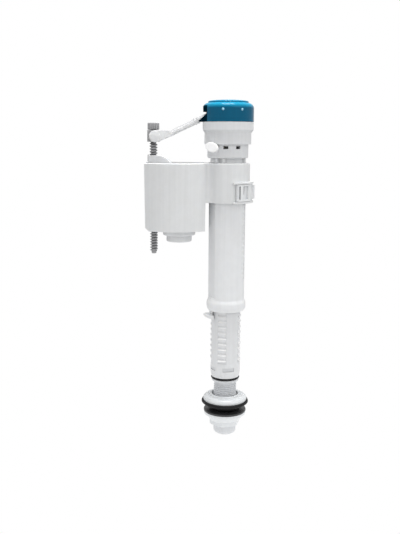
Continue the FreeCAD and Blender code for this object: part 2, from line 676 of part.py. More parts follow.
def cup_prism(name, inset, bottom, top, taper):
    """An upright prism with the chamber's plan: flat ends and bowed front and back."""
    left, right = size("cup_left") + inset, size("cup_right") - inset
    bulge = size("cup_bulge") - inset
    side = size("cup_side") - inset * 0.75
    body = document.addObject("PartDesign::Body", name)
    sketch = new_sketch(body, name + "_plan", "XY_Plane")
    middle = (left.value + right.value) / 2
    half = (right.value - left.value) / 2
    crown = side.value + bulge.value - math.sqrt(bulge.value ** 2 - half ** 2)
    corner = {
        "lf": FreeCAD.Vector(left.value, -side.value, 0), "rf": FreeCAD.Vector(right.value, -side.value, 0),
        "rb": FreeCAD.Vector(right.value, side.value, 0), "lb": FreeCAD.Vector(left.value, side.value, 0),
    }
    sketch.addGeometry(Part.Arc(corner["lf"], FreeCAD.Vector(middle, -crown, 0), corner["rf"]))
    sketch.addGeometry(Part.LineSegment(corner["rf"], corner["rb"]))
    sketch.addGeometry(Part.Arc(corner["rb"], FreeCAD.Vector(middle, crown, 0), corner["lb"]))
    sketch.addGeometry(Part.LineSegment(corner["lb"], corner["lf"]))
    for first, first_end, second, second_end in ((0, 2, 1, 1), (1, 2, 2, 1), (2, 2, 3, 1), (3, 2, 0, 1)):
        sketch.addConstraint(Sketcher.Constraint("Coincident", first, first_end, second, second_end))
    pin_point(sketch, 1, 1, (right, -side))
    pin_point(sketch, 1, 2, (right, side))
    pin_point(sketch, 3, 1, (left, side))
    pin_point(sketch, 3, 2, (left, -side))
    for arc in (0, 2):
        index = sketch.addConstraint(Sketcher.Constraint("Radius", arc, bulge.value))
        sketch.setExpression(f"Constraints[{index}]", bulge.formula)
    pad = body.newObject("PartDesign::Pad", name + "_pad")
    pad.Profile = sketch
    bind(pad, "Length", top - bottom)
    if taper:
        bind(pad, "TaperAngle", size("cup_draft"))
    return place(body, z=bottom)


def valley_arc(blend, count):
    """Points along the hollow of a given radius where the chamber's front meets the collar."""
    half = (size("cup_right").value - size("cup_left").value) / 2
    bulge, collar = size("cup_bulge").value, size("collar_radius").value
    cup = FreeCAD.Vector(size("cup_left").value + half,
                         math.sqrt(bulge ** 2 - half ** 2) - size("cup_side").value, 0)
    toward = cup * (1 / cup.Length)
    along = ((collar + blend) ** 2 - (bulge + blend) ** 2 + cup.Length ** 2) / (2 * cup.Length)
    across = math.sqrt((collar + blend) ** 2 - along ** 2)
    centre = toward * along + FreeCAD.Vector(-toward.y, toward.x, 0) * across
    first = math.atan2(cup.y - centre.y, cup.x - centre.x)
    last = math.atan2(-centre.y, -centre.x)
    angles = [first + (last - first) * step / (count - 1) for step in range(count)]
    return [(centre.x + blend * math.cos(angle), centre.y + blend * math.sin(angle)) for angle in angles]


def float_chamber():
    wall, floor_level, rim = size("cup_wall"), size("cup_bottom"), size("cup_top")
    drain_x, collar, low = size("drain_x"), size("collar_radius"), size("collar_bottom")
    outer = cup_prism("cup_outer", Length(0.0, "0.0"), floor_level, rim, True)
    corner = side_slab("cup_corner", [
        (size("cup_left") - 3, floor_level - 1), (size("cup_left") + 3.2, floor_level - 1),
        (size("cup_left") + 3.2, floor_level), (size("cup_left") - 0.5, floor_level + 3.4),
        (size("cup_left") - 3, floor_level + 3.4),
    ], -30, 30)
    band = cylinder("collar_band", collar, low, rim)
    hollow = valley_arc(6.0, 9)
    web = plan_slab("collar_web", hollow + [(x, -y) for x, y in reversed(hollow)], low, rim)
    ledges = [
        sector(f"collar_ledge{index}", size("ledge_radius"), bottom, bottom + 1.5, 12, 90)
        for index, bottom in enumerate((low, low + 16.9))
    ]
    solid = fuse("chamber_solid", [cut("cup_body", outer, corner), band, web, *ledges])
    cavity = cup_prism("cup_cavity", wall, floor_level + wall, rim + 2, True)
    bore = cylinder("collar_hole", size("collar_bore"), low - 1, rim + 1)
    pawl_way = sector("collar_pawl_way", collar + 0.4, low + 2.2, low + 15.0, 24, 58)
    stem_hole = cylinder("chamber_stem_hole", 2.0, floor_level - 1, floor_level + 3, drain_x)
    rod_hole = cylinder("chamber_rod_hole", size("rod_way"), floor_level - 1, floor_level + 3, size("rod_x"))
    spider = [
        cylinder(f"chamber_drain_hole{index}", 2.1, floor_level - 1, floor_level + 3,
                 drain_x + 5.2 * math.cos(math.tau * index / SPIDER_HOLES),
                 5.2 * math.sin(math.tau * index / SPIDER_HOLES))
        for index in range(SPIDER_HOLES)
    ]
    keep("float_chamber", cut("chamber", solid, cavity, bore, pawl_way, stem_hole, rod_hole, *spider))


def chamber_latch():
    inner, outer = size("latch_inner"), size("latch_outer")
    bottom, top = size("collar_bottom") + 1.8, size("collar_bottom") + 16.6
    plate = sector("latch_plate", outer, bottom, top, 20, 72)
    knob = sector("latch_knob", outer + 2.2, bottom + 1.5, top - 1.0, 78, 10)
    frame = sector("latch_frame", outer + 0.8, bottom, top, 22.5, 32)
    recess = sector("latch_recess_slice", outer + 2, bottom + 1.8, top - 1.4, 25, 26.5)
    tongue = sector("latch_tongue", outer + 3, bottom, top, 28.5, 7.5)
    floor = cylinder("latch_recess_floor", outer - 0.9, bottom, top)
    slits = [
        sector("latch_slit", outer + 2, bottom + 2.2, top - 1.8, 25.6, 2.4),
        sector("latch_wide_slit", outer + 2, bottom + 6.0, top - 1.8, 36.5, 5.5),
    ]
    shell = cut("latch_shell", fuse("latch_solid", [plate, knob, frame]),
                cut("latch_recess", recess, floor, tongue), *slits,
                cylinder("latch_hole", inner, bottom - 1, top + 1))
    level = size("rack_bottom") + size("rack_pitch") * 16
    tooth_shapes = [
        sector(f"latch_tooth{index}", inner + 0.6,
               level + size("rack_pitch") * index + size("notch_ramp") + 0.25,
               level + size("rack_pitch") * index + size("notch_tall") - 0.25, 71.2, 8.6)
        for index in range(2)
    ]
    root = cylinder("latch_tooth_end", size("riser_radius") - size("rack_depth") + 0.2, 200.0, 250.0)
    teeth = cut("latch_teeth", fuse("latch_tooth_blanks", tooth_shapes), root)
    keep("chamber_latch", fuse("latch", [shell, teeth]))


def drain_valve():
    middle, bottom = size("drain_x"), size("drain_bottom")
    radius, bore, top = size("drain_radius"), size("drain_bore"), size("cup_bottom")
    collar = turned("drain_ring", [(bore, bottom), (radius, bottom), (radius, top), (bore, top)], middle)
    round_over(collar, [(size("drain_radius"), bottom, 1.2)])
    keep("drain_collar", collar)
    disc, low, top = size("drain_disc"), size("disc_bottom"), size("disc_top")
    keep("drain_disc", turned("drain_disc", [
        (0, low + 3.0), (disc - 2.4, low + 3.0), (disc - 2.4, low), (disc - 0.7, low), (disc, low + 0.8),
        (disc, top), (1.8, top), (1.8, 194.75), (3.2, 194.75), (3.2, 195.6), (1.6, 196.9), (0, 196.9),
    ], middle))
    keep("drain_seal", turned("drain_seal", [
        (8.2, top), (10.6, top), (10.6, top + 1.2), (9.9, top + 1.7), (8.9, top + 1.7), (8.2, top + 1.2),
    ], middle))


def float_pieces():
    left, right = size("float_left"), size("float_right")
    bottom, top, wall = size("float_bottom"), size("float_top"), size("float_wall")
    rod_x, way, rim = size("rod_x"), size("rod_way"), size("cup_top")
    gap = size("cup_wall") + size("float_gap")
    outline = [
        (left, bottom), (right, bottom), (right, rim), (right - 1.0, rim + 1.7), (right - 3.0, rim + 3.7),
        (right - 6.0, top - 0.8), (right - 9.5, top), (left + 0.7, top),
        (left + 0.7, rim - 2), (left, rim - 3),
    ]
    inner_outline = [
        (left + wall, bottom - 1), (right - wall, bottom - 1), (right - wall, rim - 0.6),
        (right - 3.4 - wall, rim + 2.4), (right - 9.5, top - wall), (left + 0.7 + wall, top - wall),
        (left + 0.7 + wall, rim - 2), (left + wall, rim - 3.4),
    ]
    skin = common("float_skin", [side_slab("float_side", outline, -30, 30),
                                 cup_prism("float_plan", gap, bottom, top + 1, False)])
    cavity = common("float_cavity", [side_slab("float_side_inner", inner_outline, -29, 29),
                                     cup_prism("float_plan_inner", gap + wall, bottom - 1, top + 1, False)])
    sleeve_wall = cylinder("float_sleeve", way + 0.6, bottom + wall, top - 0.5, rod_x)
    way_hole = cylinder("float_way", way, bottom - 2, top + 2, rod_x)
    shell = fuse("float_shell_solid", [cut("float_hollow", skin, cavity), sleeve_wall])
    clip_slot = block("float_clip_slot", (left - 1, -5.2, 255.6), (rod_x + 5.6, 5.2, 257.9))
    tab_way = block("float_tab_way", (left - 1, -3.9, rim), (left + 0.7, 3.9, top + 1))
    keep("float_shell", cut("float_shell_cut", shell, way_hole, clip_slot, tab_way))
    base = common("float_base_blank", [
        block("float_base_box", (left + wall + 0.05, -30.0, bottom),
              (right - wall - 0.05, 30.0, bottom + wall)),
        cup_prism("float_base_plan", gap + wall + 0.05, bottom - 1, top, False),
    ])
    hole = cylinder("float_base_hole", way, bottom - 1, bottom + 5, rod_x)
    keep("float_base", cut("float_base_cut", base, hole))
    plate = block("clip_plate", (left + 0.1, -5.0, 255.8), (rod_x + 5.4, 5.0, 257.7))
    tab = block("clip_tab", (left - 0.4, -3.6, 253.6), (left + 0.4, 3.6, 259.6))
    keep("float_clip", cut("clip", fuse("clip_solid", [plate, tab]),
                           cylinder("clip_hole", size("rod_crest") + 0.1, 250.0, 262.0, rod_x)))


# --- locks, button ------------------------------------------------------------------------


def lock_ring():
    """A ring inside the bell whose lugs catch the sleeve's ribs; a thumb tab hangs out below."""
    gap_middle = size("rib_first") + size("rib_pitch") * 9 + 2.2
    inner = size("sleeve_full") + 0.15
    band = tube("lock_band", 15.3, inner, 120.2, 126.0)
    lugs = [
        sector(f"lock_lug{index}", 14.6, gap_middle + shift - 0.5, gap_middle + shift + 0.5,
               size("ladder_turn").value + 90 * index - 57, 24)
        for index, shift in enumerate(RIB_SHIFTS)
    ]
    lug_ring = cut("lock_lugs", fuse("lock_lug_slices", lugs),
                   cylinder("lock_lug_end", size("sleeve_gap") + 0.15, 110.0, 127.0))
    web = cut("lock_web", sector("lock_web_slice", 15.3, 112.4, 121.0, -100, 40),
              cylinder("lock_web_inside", inner, 110.0, 122.0))
    outline = LOCK_TAB + tuple((14.8, azimuth) for _, azimuth in reversed(LOCK_TAB))
    crescent = plan_slab("lock_crescent", [
        (radius * math.sin(math.radians(azimuth)), -radius * math.cos(math.radians(azimuth)))
        for radius, azimuth in outline
    ], 111.0, 116.0)
    blade = side_slab("lock_blade", [(-21.0, 115.2), (-21.0, 113.7), (-12.0, 111.4), (-7.0, 111.4),
                                     (-7.0, 115.2)], -22, 22)
    tab = common("lock_tab", [crescent, blade])
    keep("lock_ring", fuse("lock", [band, lug_ring, web, tab]))


def release_button():
    """An oval thumb button on a stem that goes through the head's skirt."""
    azimuth = math.radians(-35 - 90)
    out = FreeCAD.Vector(math.cos(azimuth), math.sin(azimuth), 0)
    side = FreeCAD.Vector(math.sin(azimuth), -math.cos(azimuth), 0)
    lie = FreeCAD.Rotation(FreeCAD.Vector(0, 0, 1), out)
    oval = document.addObject("Part::Feature", "button_oval")
    ellipse = Part.Ellipse(FreeCAD.Vector(), 6.9, 4.15).toShape()
    plate = Part.Face(Part.Wire(ellipse)).extrude(FreeCAD.Vector(0, 0, 1.9))
    oval.Shape = plate.makeFillet(0.8, plate.Edges)
    tilt = FreeCAD.Rotation(FreeCAD.Vector(0, 0, 1), -50)
    oval.Placement = FreeCAD.Placement(out * 22.1 + side * 0.9 + FreeCAD.Vector(0, 0, 266.3), lie * tilt)
    stem = spoke_block("button_stem", 17.7, 22.4, 3.2, 265.0, 268.1, -35)
    keep("release_button", fuse("button", [oval, stem]))


# --- tank fixings ---------------------------------------------------------------------------


def tank_fixings():
    hole = size("shank_hole")
    keep("flat_washer", turned("flat_washer", [
        (hole, size("flat_bottom")), (size("flat_radius") - 0.4, size("flat_bottom")),
        (size("flat_radius"), size("flat_bottom") + 0.5), (size("flat_radius"), size("flat_top") - 0.5),
        (size("flat_radius") - 0.4, size("flat_top")), (hole, size("flat_top")),
    ]))
    rim, top = size("cone_rim"), size("cone_top")
    keep("cone_seal", turned("cone_seal", [
        (hole, size("flat_top") + 0.02), (12.6, size("flat_top") + 0.02), (20.4, 29.6),
        (rim - 0.3, 30.4), (rim, 31.2), (rim - 0.4, 32.3), (rim - 1.0, top + 0.5),
        (rim - 1.6, top), (hole, top),
    ]))
    dome = size("dome_radius")
    keep("dome_washer", turned("dome_washer", [
        (hole + 0.1, top + 0.02), (dome - 0.3, top + 0.02), (dome, top + 0.5), (dome, top + 1.5),
        (dome - 1.6, top + 3.6), (dome - 4.4, top + 5.0), (15.2, top + 4.3), (13.6, top + 6.0),
        (12.9, size("dome_top") - 0.6), (12.3, size("dome_top") - 0.6), (hole + 1.1, top + 4.0),
        (hole + 0.1, top + 3.0),
    ]))
    bottom, flange = size("nut_bottom"), size("flat_bottom")
    skirt = turned("nut_skirt", [
        (10.0, bottom + 4.6), (14.7, bottom + 4.6), (17.6, flange - 2.6), (size("nut_flange"), flange - 2.2),
        (size("nut_flange"), flange - 0.02), (10.0, flange - 0.02),
    ])
    hexagon = document.addObject("Part::Prism", "nut_hexagon")
    hexagon.Polygon = 6
    bind(hexagon, "Circumradius", size("nut_flats") * (0.5 / math.cos(math.pi / 6)))
    hexagon.Height = 9.0
    place(hexagon, z=bottom, turn=15)
    corner_cone = turned("nut_corners", [(0, bottom), (13.4, bottom), (14.7, bottom + 1.0),
                                         (14.7, bottom + 9.0), (0, bottom + 9.0)])
    hex_part = common("nut_hex", [hexagon, corner_cone])
    keep("flanged_nut", cut("nut", fuse("nut_solid", [skirt, hex_part]),
                            cylinder("nut_hole", size("nut_bore"), bottom - 1, flange + 1)))


def build():
    threaded_shank()
    height_sleeve()
    lower_pipe()
    inlet_fittings()
    riser_tube()
    upper_pipe()
    head_body()
    head_internals()
    cap()
    lever_arm()
    adjusting_rod()
    rod_holder()
    float_chamber()
    chamber_latch()
    drain_valve()
    float_pieces()
    lock_ring()
    release_button()
    tank_fixings()
    document.recompute()


def check():
    """Stop if any object failed or any sub-part is not one sound solid."""
    for item in document.Objects:
        if "Invalid" in item.State or "Error" in item.State:
            raise RuntimeError(f"{item.Name} failed: {item.State}")
    for label, item in parts:
        shape = item.Shape
        if shape.isNull() or not shape.isValid():
            raise RuntimeError(f"{label} has no valid shape")
        if len(shape.Solids) != 1:
            raise RuntimeError(f"{label} has {len(shape.Solids)} solids")


def write():
    os.makedirs("parts", exist_ok=True)
    for label, item in parts:
        item.Shape.exportStep(os.path.join("parts", label + ".step"))
        print(f"{label:18s} {item.Shape.Volume:9.1f} mm3")


build()
check()
write()
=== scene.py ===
import json
import math

import bmesh
import bpy
from mathutils import Matrix, Vector


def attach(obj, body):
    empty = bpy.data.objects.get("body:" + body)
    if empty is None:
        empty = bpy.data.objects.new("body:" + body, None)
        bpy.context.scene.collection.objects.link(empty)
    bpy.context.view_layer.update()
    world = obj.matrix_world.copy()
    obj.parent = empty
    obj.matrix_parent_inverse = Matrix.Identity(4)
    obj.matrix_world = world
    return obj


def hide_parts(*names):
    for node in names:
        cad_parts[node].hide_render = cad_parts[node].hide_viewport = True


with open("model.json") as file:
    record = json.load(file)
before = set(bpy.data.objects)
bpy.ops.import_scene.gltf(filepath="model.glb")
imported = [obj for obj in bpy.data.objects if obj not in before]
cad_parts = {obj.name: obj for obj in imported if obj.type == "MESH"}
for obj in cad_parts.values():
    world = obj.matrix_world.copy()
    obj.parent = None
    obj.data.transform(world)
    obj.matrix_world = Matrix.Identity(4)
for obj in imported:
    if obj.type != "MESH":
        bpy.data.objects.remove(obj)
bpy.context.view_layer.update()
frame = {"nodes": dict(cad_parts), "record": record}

MM = 0.001
BODIES = frame["record"]["behaviour"]["bodies"]
BODY_OF = {node: body for body, nodes in BODIES.items() for node in nodes}
SLOT_OF = {row["node"]: row["material_slot"] for row in frame["record"]["subparts"]}


# --- materials ------------------------------------------------------------------------------


class Shader:
    """A small helper that adds nodes to one material and links them."""

    def __init__(self, name):
        self.material = bpy.data.materials.new(name)
        self.material.use_nodes = True
        self.tree = self.material.node_tree
        self.principled = next(n for n in self.tree.nodes if n.type == "BSDF_PRINCIPLED")
        self.place = self.node("ShaderNodeTexCoord").outputs["Object"]

    def node(self, kind, **fields):
        made = self.tree.nodes.new(kind)
        for key, value in fields.items():
            setattr(made, key, value)
        return made

    def link(self, output, socket):
        self.tree.links.new(output, socket)

    def noise(self, scale, detail=3.0, roughness=0.5, stretch=(1, 1, 1)):
        """Noise in the object's own metres: scale is features per metre."""
        mapping = self.node("ShaderNodeMapping")
        mapping.inputs["Scale"].default_value = stretch
        self.link(self.place, mapping.inputs["Vector"])
        made = self.node("ShaderNodeTexNoise")
        made.inputs["Scale"].default_value = scale
        made.inputs["Detail"].default_value = detail
        made.inputs["Roughness"].default_value = roughness
        self.link(mapping.outputs["Vector"], made.inputs["Vector"])
        return made.outputs["Fac"]

    def ramp(self, value, stops):
        """The colour of a value, from stops of (position, colour)."""
        made = self.node("ShaderNodeValToRGB")
        elements = made.color_ramp.elements
        while len(elements) < len(stops):
            elements.new(0.5)
        for element, (position, colour) in zip(elements, stops):
            element.position = position
            element.color = (*colour, 1.0)
        self.link(value, made.inputs["Fac"])
        return made.outputs["Color"]

    def span(self, value, low, high, start=0.0, end=1.0):
        """The value, moved from the span start to end onto the span low to high."""
        made = self.node("ShaderNodeMapRange")
        made.inputs["From Min"].default_value = start
        made.inputs["From Max"].default_value = end
        made.inputs["To Min"].default_value = low
        made.inputs["To Max"].default_value = high
        self.link(value, made.inputs["Value"])
        return made.outputs["Result"]

    def mix(self, factor, first, second, kind="MIX"):
        made = self.node("ShaderNodeMix", data_type="RGBA", blend_type=kind)
        if isinstance(factor, float):
            made.inputs["Factor"].default_value = factor
        else:
            self.link(factor, made.inputs["Factor"])
        for socket, colour in ((made.inputs["A"], first), (made.inputs["B"], second)):
            if isinstance(colour, tuple):
                socket.default_value = (*colour[:3], 1.0)
            else:
                self.link(colour, socket)
        return made.outputs["Result"]

    def add(self, first, second, weight):
        """The first value with a weighted share of the second."""
        made = self.node("ShaderNodeMath", operation="MULTIPLY_ADD")
        self.link(second, made.inputs[0])
        made.inputs[1].default_value = weight
        self.link(first, made.inputs[2])
        return made.outputs["Value"]

    def bump(self, height, distance, strength=1.0):
        made = self.node("ShaderNodeBump")
        made.inputs["Distance"].default_value = distance
        made.inputs["Strength"].default_value = strength
        self.link(height, made.inputs["Height"])
        self.link(made.outputs["Normal"], self.principled.inputs["Normal"])

    def edges(self, low, high):
        """Bright where the surface is convex, from the mesh itself."""
        point = self.node("ShaderNodeNewGeometry").outputs["Pointiness"]
        return self.span(point, 0.0, 1.0, low, high)

    def painted_gap_shade(self, reach, darkest, low, high):
        """A grey that falls from 1 on open surfaces to darkest deep in gaps, as painted shade."""
        made = self.node("ShaderNodeAmbientOcclusion", samples=6)
        made.inputs["Distance"].default_value = reach
        return self.span(made.outputs["AO"], darkest, 1.0, low, high)

    def upward(self, low, high):
        """0 on walls and 1 on surfaces that face up."""
        apart = self.node("ShaderNodeSeparateXYZ")
        self.link(self.node("ShaderNodeNewGeometry").outputs["Normal"], apart.inputs[0])
        return self.span(apart.outputs["Z"], 0.0, 1.0, low, high)

    def mouth(self, edge, top, darkest):
        """A grey that is darkest left of an edge and below a level, and 1 elsewhere, for painted shade."""
        apart = self.node("ShaderNodeSeparateXYZ")
        self.link(self.place, apart.inputs[0])
        side_blur, top_blur = 0.0002, 0.0006
        left = self.span(apart.outputs["X"], darkest, 1.0, edge - side_blur, edge + side_blur)
        above = self.span(apart.outputs["Z"], 0.0, 1.0, top - top_blur, top + top_blur)
        made = self.node("ShaderNodeMath", operation="MAXIMUM")
        self.link(left, made.inputs[0])
        self.link(above, made.inputs[1])
        return made.outputs["Value"]

    def spot(self, centre, radius):
        """1 near a point, and 0 beyond a radius from it."""
        away = self.node("ShaderNodeVectorMath", operation="DISTANCE")
        self.link(self.place, away.inputs[0])
        away.inputs[1].default_value = centre
        return self.span(away.outputs["Value"], 1.0, 0.0, radius * 0.7, radius)

    def set(self, **values):
        for key, value in values.items():
            self.principled.inputs[key.replace("_", " ")].default_value = value


# the cap's outer radius, and where its two raised dots are, across and up its front
CAP_WALL = 22.6
CAP_DOTS = ((-5.2, 299.1), (11.2, 298.9))

# the right edge and the top of the cap's mouth, in metres, and the share of its colour left
# in the painted shade there
CAP_MOUTH_SHADE = (-0.0187, 0.3028, 0.12)

# how far a dot's painted highlight reaches, and how near another surface has to be for painted
# shade, in metres
DOT_HIGHLIGHT_REACH = 0.0013
GAP_SHADE_REACH = 0.006
DOT_HIGHLIGHT_BLUE = (0.33, 0.62, 0.78)


def dot_place(x, z):
    """The middle of a dot on the cap's wall, in millimetres."""
    return (x, 0.15 - math.sqrt(CAP_WALL ** 2 - x ** 2), z)


def shade(colour, factor):
    return tuple(min(1.0, channel * factor) for channel in colour)


def moulded_plastic(name, colour, rough=(0.30, 0.42), glow=0.0, wear=0.25, gloss=0.5,
                    gap_shade=0.55, gaps=(0.05, 0.62), painted_top_lighting=None, mouth=None, dots=()):
    """Injection-moulded plastic: flow streaks, fine skin texture, paler edges, painted shade in gaps.

    rough is the range of roughness, glow the share of light that scatters under the skin, wear how
    pale the edges are, gloss the specular level, and grime the painted shade deep in gaps.
    Surfaces less open than the first of gaps are darkest, and those more open than the second are
    not darkened. painted_top_lighting is painted light and shade on what faces up, mouth paints shade into
    an opening, and dots are where painted highlights are."""
    shader = Shader(name)
    streaks = shader.noise(420.0, 2.0, 0.5, (1.0, 1.0, 0.015))
    flow = shader.noise(38.0, 4.0, 0.55, (1.0, 1.0, 0.35))
    cloud = shader.noise(170.0, 3.0, 0.6)
    skin = shader.noise(2600.0, 2.0, 0.6)
    tint = shader.ramp(flow, [(0.32, shade(colour, 0.955)), (0.68, shade(colour, 1.03))])
    speck = shader.ramp(cloud, [(0.40, shade(colour, 0.975)), (0.62, shade(colour, 1.02))])
    mixed = shader.mix(0.45, tint, speck)
    streaked = shader.ramp(streaks, [(0.35, (0.965, 0.965, 0.965)), (0.66, (1.0, 1.0, 1.0))])
    mixed = shader.mix(1.0, mixed, streaked, "MULTIPLY")
    # what faces up takes painted light and shade, standing in for the light from above
    if painted_top_lighting:
        mixed = shader.mix(shader.upward(0.15, 0.8), mixed, painted_top_lighting)
    edge = shader.edges(0.52, 0.62)
    pale = tuple(channel + (1.0 - channel) * wear for channel in colour)
    faded = shader.mix(shader.span(edge, 0.0, wear), mixed, pale)
    # ambient occlusion darkens the gaps: painted shade
    with_painted_light = shader.mix(1.0, faded, shader.painted_gap_shade(GAP_SHADE_REACH, gap_shade, *gaps), "MULTIPLY")
    # paint a pale blue highlight on each raised dot
    for centre in dots:
        with_painted_light = shader.mix(shader.spot(centre, DOT_HIGHLIGHT_REACH), with_painted_light, DOT_HIGHLIGHT_BLUE)
    shader.set(IOR=1.48, Specular_IOR_Level=gloss, Subsurface_Weight=glow, Subsurface_Scale=0.0025,
               Subsurface_Radius=(1.0, 0.92, 0.8))
    # paint shade into the cap's mouth, and take its reflection away there too
    if mouth:
        dark = shader.mouth(*mouth)
        darkest = mouth[-1]
        with_painted_light = shader.mix(1.0, with_painted_light, dark, "MULTIPLY")
        dulled = shader.span(dark, 0.0, gloss, darkest)
        shader.link(dulled, shader.principled.inputs["Specular IOR Level"])
    shader.link(with_painted_light, shader.principled.inputs["Base Color"])
    shader.link(shader.span(cloud, *rough), shader.principled.inputs["Roughness"])
    shader.bump(shader.add(skin, cloud, 1.6), 0.00003, 0.5)
    return shader.material


def rubber(name, colour, rough=(0.42, 0.62), bloom=0.35, gloss=0.5):
    """Moulded rubber: near black, with faint grey bloom and a dull, slightly uneven skin."""
    shader = Shader(name)
    bloom_noise = shader.noise(90.0, 5.0, 0.65)
    grain = shader.noise(3200.0, 2.0, 0.5)
    dusty = tuple(channel + 0.035 * bloom for channel in colour)
    tint = shader.ramp(bloom_noise, [(0.35, shade(colour, 0.8)), (0.75, dusty)])
    edge = shader.edges(0.52, 0.60)
    rubbed = tuple(channel + 0.05 for channel in colour)
    lifted = shader.mix(shader.span(edge, 0.0, 0.35), tint, rubbed)
    shader.link(lifted, shader.principled.inputs["Base Color"])
    shader.link(shader.span(bloom_noise, *rough), shader.principled.inputs["Roughness"])
    shader.bump(shader.add(grain, bloom_noise, 2.0), 0.00004, 0.55)
    shader.set(IOR=1.52, Specular_IOR_Level=gloss)
    return shader.material


def drawn_steel(name):
    """Bare steel with fine scratches along its length."""
    shader = Shader(name)
    scratch = shader.noise(900.0, 3.0, 0.6, (1.0, 0.05, 1.0))
    tint = shader.ramp(scratch, [(0.3, (0.46, 0.46, 0.47)), (0.7, (0.66, 0.66, 0.67))])
    shader.link(tint, shader.principled.inputs["Base Color"])
    shader.link(shader.span(scratch, 0.22, 0.4), shader.principled.inputs["Roughness"])
    shader.bump(scratch, 0.00001, 0.4)
    shader.set(Metallic=1.0)
    return shader.material


# pieces given a lighter or darker copy of their slot's plastic, as painted light and shade
# for how light falls on each of them
LIT_AND_SHADED_COPIES = {
    "threaded_shank": moulded_plastic("shank_white", (0.70, 0.715, 0.735), glow=0.08, gap_shade=0.95),
    "dome_washer": moulded_plastic("washer_white", (0.71, 0.73, 0.745), (0.22, 0.32),
                                   glow=0.05, gap_shade=0.8),
    "riser_tube": moulded_plastic("tube_white", (0.885, 0.895, 0.905), glow=0.2, gap_shade=0.6),
    "height_sleeve": moulded_plastic("sleeve_white", (0.80, 0.81, 0.822), glow=0.12,
                                     painted_top_lighting=(0.90, 0.90, 0.90)),
    "lock_ring": moulded_plastic("ring_white", (0.84, 0.85, 0.86), glow=0.15, gap_shade=0.9),
    "lever_arm": moulded_plastic("lever_white", (0.87, 0.875, 0.88), (0.24, 0.36), wear=0.03,
                                 glow=0.05, gap_shade=0.9, painted_top_lighting=(0.41, 0.41, 0.42)),
    "float_chamber": moulded_plastic("chamber_white", (0.81, 0.82, 0.825), glow=0.15, gap_shade=0.9),
    "flanged_nut": moulded_plastic("nut_white", (0.80, 0.82, 0.835), (0.20, 0.30), glow=0.05),
    "release_button": moulded_plastic("tongue_white", (0.97, 0.97, 0.97), (0.3, 0.4),
                                      glow=0.1, gap_shade=0.9),
}

MATERIALS = {
    "white_plastic": moulded_plastic("acetal_white", (0.80, 0.81, 0.822), glow=0.12),
    "bright_white_plastic": moulded_plastic("bright_white", (0.88, 0.895, 0.905), (0.24, 0.36),
                                            glow=0.10),
    # the cap's blue: painted light on top, painted shade in its mouth, painted highlights on its dots
    "blue_plastic": moulded_plastic("cap_blue", (0.0, 0.105, 0.20), (0.16, 0.24), wear=0.06,
                                    gloss=0.14, painted_top_lighting=(0.006, 0.28, 0.46), mouth=CAP_MOUTH_SHADE,
                                    dots=[Vector(dot_place(*dot)) * MM for dot in CAP_DOTS]),
    "grey_plastic": moulded_plastic("rod_grey", (0.42, 0.42, 0.43), (0.42, 0.55), wear=0.18,
                                    gap_shade=0.16, gaps=(0.25, 0.85)),
    "natural_plastic": moulded_plastic("natural_resin", (0.70, 0.70, 0.64), (0.30, 0.45), glow=0.3),
    "black_rubber": rubber("seal_black", (0.005, 0.005, 0.0055), bloom=0.15, gloss=0.22),
    "dark_washer": rubber("washer_dark", (0.045, 0.045, 0.048), (0.26, 0.36)),
    "grey_rubber": rubber("silicone_grey", (0.11, 0.11, 0.115)),
    "steel": drawn_steel("pivot_steel"),
}


# --- mesh helpers ---------------------------------------------------------------------------


def replace_node(node, mesh, smooth=32.0):
    """Show the mesh in place of a CAD node, riding with its body and taking its material."""
    piece = bpy.data.objects.new(node + "_moulded", mesh)
    bpy.context.scene.collection.objects.link(piece)
    mesh.materials.clear()
    mesh.materials.append(LIT_AND_SHADED_COPIES.get(node) or MATERIALS[SLOT_OF[node]])
    mesh.shade_smooth()
    mesh.set_sharp_from_angle(angle=math.radians(smooth))
    shading = piece.modifiers.new("shading", "WEIGHTED_NORMAL")
    shading.keep_sharp = True
    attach(piece, BODY_OF[node])
    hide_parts(node)


def softened(node, width, broad=()):
    """Show a copy of a CAD node with rounded edges in its place, some of them broader."""
    mesh = frame["nodes"][node].data
    for height, reach in broad:
        mesh = broaden(mesh, height, reach)
    replace_node(node, soften(mesh, width))


def turning(name, outline, steps, centre=(0.0, 0.0), reach=None):
    """A turned solid from a closed loop of (radius, height) in millimetres.

    reach(angle, radius, height), if given, says the radius at each point, for threads and flutes."""
    work = bmesh.new()
    rings = []
    for radius, height in outline:
        if radius < 1e-6:
            rings.append([work.verts.new((centre[0] * MM, centre[1] * MM, height * MM))])
            continue
        ring = []
        for step in range(steps):
            angle = math.tau * step / steps
            out = reach(angle, radius, height) if reach else radius
            ring.append(work.verts.new(((centre[0] + out * math.cos(angle)) * MM,
                                        (centre[1] + out * math.sin(angle)) * MM, height * MM)))
        rings.append(ring)
    for first, second in zip(rings, rings[1:] + rings[:1]):
        if len(first) == 1 and len(second) == 1:
            continue
        for step in range(steps):
            after = (step + 1) % steps
            if len(first) == 1:
                work.faces.new((first[0], second[after], second[step]))
            elif len(second) == 1:
                work.faces.new((first[step], first[after], second[0]))
            else:
                work.faces.new((first[step], first[after], second[after], second[step]))
    bmesh.ops.recalc_face_normals(work, faces=work.faces)
    return as_mesh(work, name)


def as_mesh(work, name):
    mesh = bpy.data.meshes.new(name)
    work.to_mesh(mesh)
    work.free()
    return mesh


def oblong(left, low, right, high):
    """The corners of a rectangle, as an outline for a slab."""
    return [(left, low), (right, low), (right, high), (left, high)]


